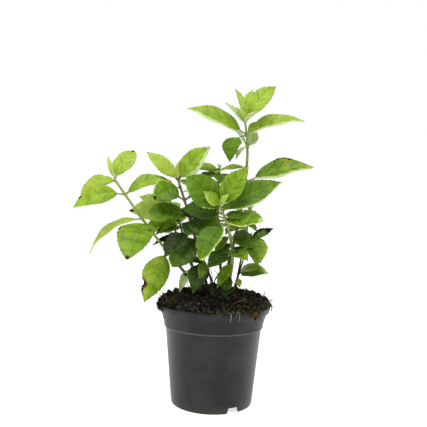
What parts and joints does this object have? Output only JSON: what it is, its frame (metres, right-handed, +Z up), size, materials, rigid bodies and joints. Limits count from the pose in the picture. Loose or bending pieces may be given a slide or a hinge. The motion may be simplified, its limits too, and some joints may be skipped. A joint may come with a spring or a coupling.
{
  "type": "potted mock orange",
  "caption": "Young mock orange shrub with several leafy shoots, toothed opposite leaves and scorched edges, growing from heaped compost in a round grey nursery pot.",
  "frame": {"origin": "on the ground, under the middle of the whole plant's bounding box; the pot's upright axis stands 21.9 mm towards +X and 20.6 mm towards -Y of it", "axes": "+Z up; -Y towards the viewer of the picture, so +X is the viewer's right"},
  "size_m": [0.2476, 0.1704, 0.3404],
  "materials": {
    "pot_plastic": "dark grey moulded plastic, faintly scuffed",
    "compost": "damp dark compost with bark fibre and moss",
    "bark": "thin smooth bark, green towards the tips",
    "young_leaf": "soft yellow-green leaf",
    "grown_leaf": "satin mid-green leaf",
    "shaded_leaf": "dark green leaf"
  },
  "bodies": {
    "root": {"pot": "pot_plastic", "soil": "compost", "tall_stem": "bark", "tall_foliage": "young_leaf", "centre_stem": "bark", "centre_foliage": "grown_leaf", "left_stem": "bark", "left_foliage": "grown_leaf", "middle_stem": "bark", "middle_foliage": "grown_leaf", "slim_stem": "bark", "slim_foliage": "shaded_leaf", "right_stem": "bark", "right_foliage": "shaded_leaf", "sprig_stem": "bark", "sprig_foliage": "shaded_leaf", "back_stem": "bark", "back_foliage": "shaded_leaf", "back_left_stem": "bark", "back_left_foliage": "shaded_leaf", "back_right_stem": "bark", "back_right_foliage": "shaded_leaf"}
  },
  "joints": []
}
